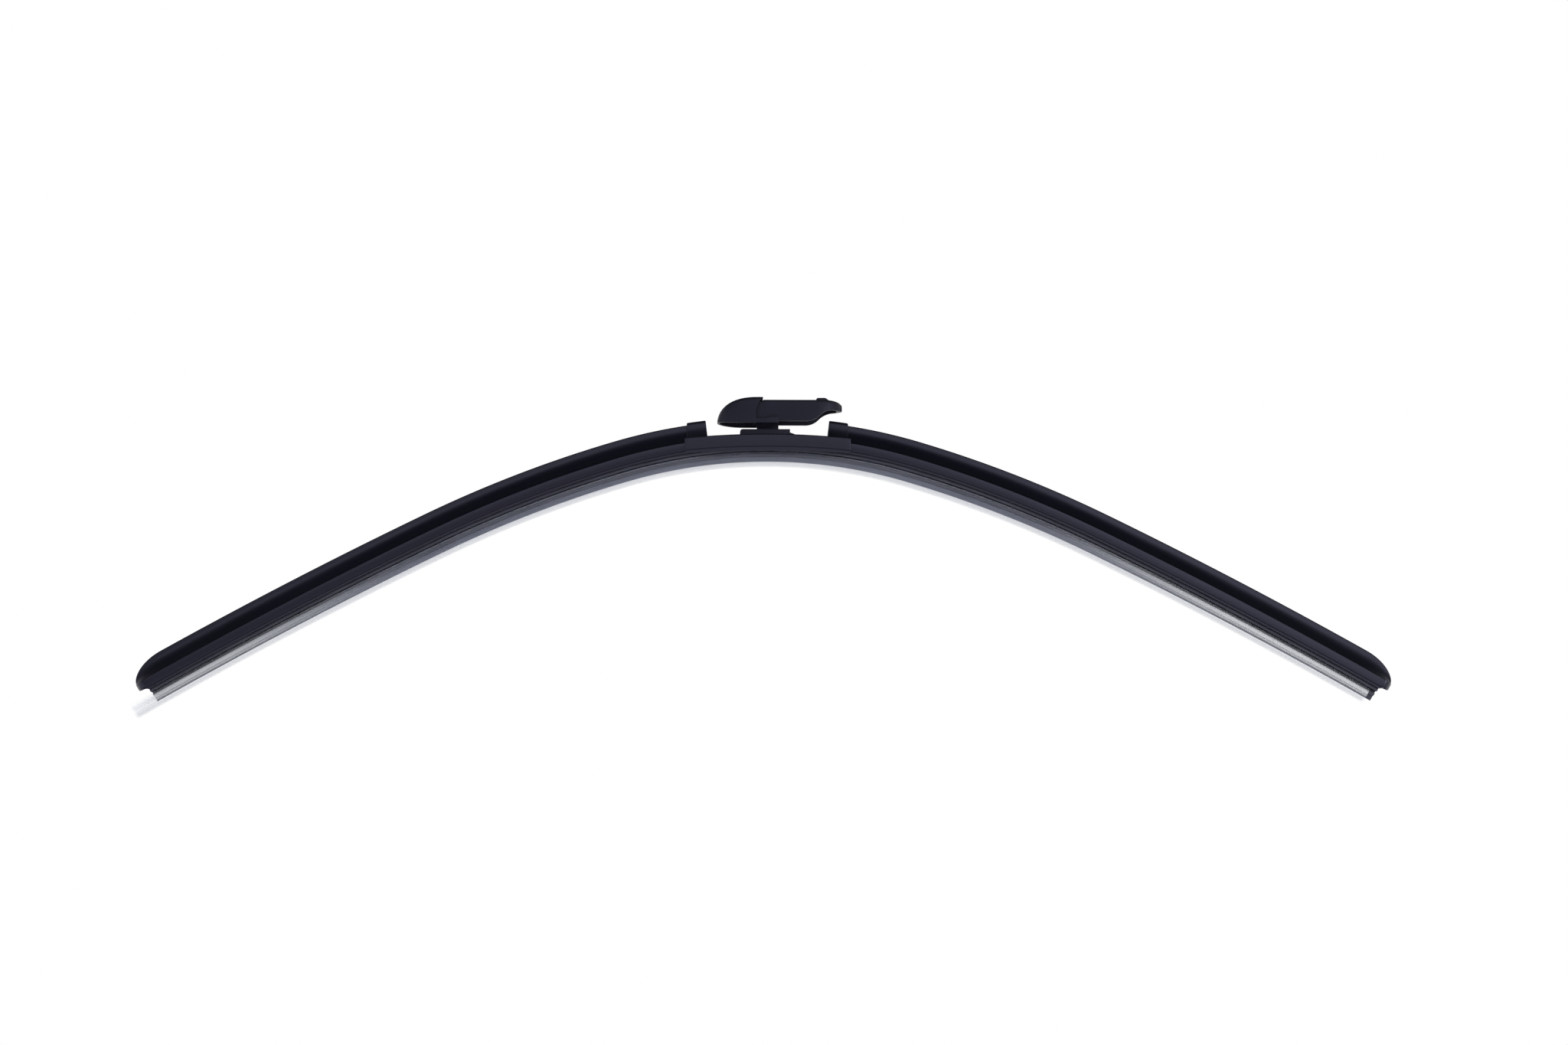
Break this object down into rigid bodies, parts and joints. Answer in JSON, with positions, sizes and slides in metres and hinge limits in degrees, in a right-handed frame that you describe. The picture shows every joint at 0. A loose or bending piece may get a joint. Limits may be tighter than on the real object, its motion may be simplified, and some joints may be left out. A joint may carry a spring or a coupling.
{
  "type": "wiper blade",
  "caption": "Black flat-beam windscreen wiper blade with a spoiler in two halves, rounded end caps, a bridge cover, a push-button arm adapter and a clear edge guard.",
  "frame": {"origin": "the point on the adapter's flat top face straight above the pivot pin, where the arm's channel rests", "axes": "+X along the blade, from the closed nose of the adapter towards its tail and the arm; +Z out of the adapter's top face, away from the glass; -Y is the side of the spoiler that meets the air"},
  "size_m": [0.574, 0.0186, 0.1464],
  "materials": {
    "blade_rubber": "matt black rubber",
    "spring_steel": "rolled spring steel",
    "spoiler_black": "satin black, slightly soft",
    "cap_black": "satin black",
    "cover_black": "satin black, fine grain",
    "saddle_black": "satin black",
    "pin_steel": "drawn steel",
    "adapter_black": "satin black",
    "button_black": "satin black",
    "guard_clear": "clear, slightly milky"
  },
  "bodies": {
    "adapter": {"adapter_body": "adapter_black", "nose_cover": "adapter_black"},
    "button": {"lock_button": "button_black"},
    "blade": {"wiper_rubber": "blade_rubber", "rail_front": "spring_steel", "rail_rear": "spring_steel", "spoiler_left": "spoiler_black", "spoiler_right": "spoiler_black", "end_cap_left": "cap_black", "end_cap_right": "cap_black", "bridge_cover": "cover_black", "saddle": "saddle_black", "pivot_pin": "pin_steel", "edge_guard": "guard_clear"}
  },
  "joints": [
    {"name": "blade_pivot", "type": "hinge", "parent": "adapter", "child": "blade", "pos_m": [0, 0, -0.0059], "axis": [0, 1, 0], "range_deg": [-6, 10]},
    {"name": "button_press", "type": "hinge", "parent": "adapter", "child": "button", "pos_m": [0.0104, 0, -0.00275], "axis": [0, 1, 0], "range_deg": [0, 6], "stiffness_Nm_per_rad": 0.5, "springref_deg": -4.58}
  ]
}
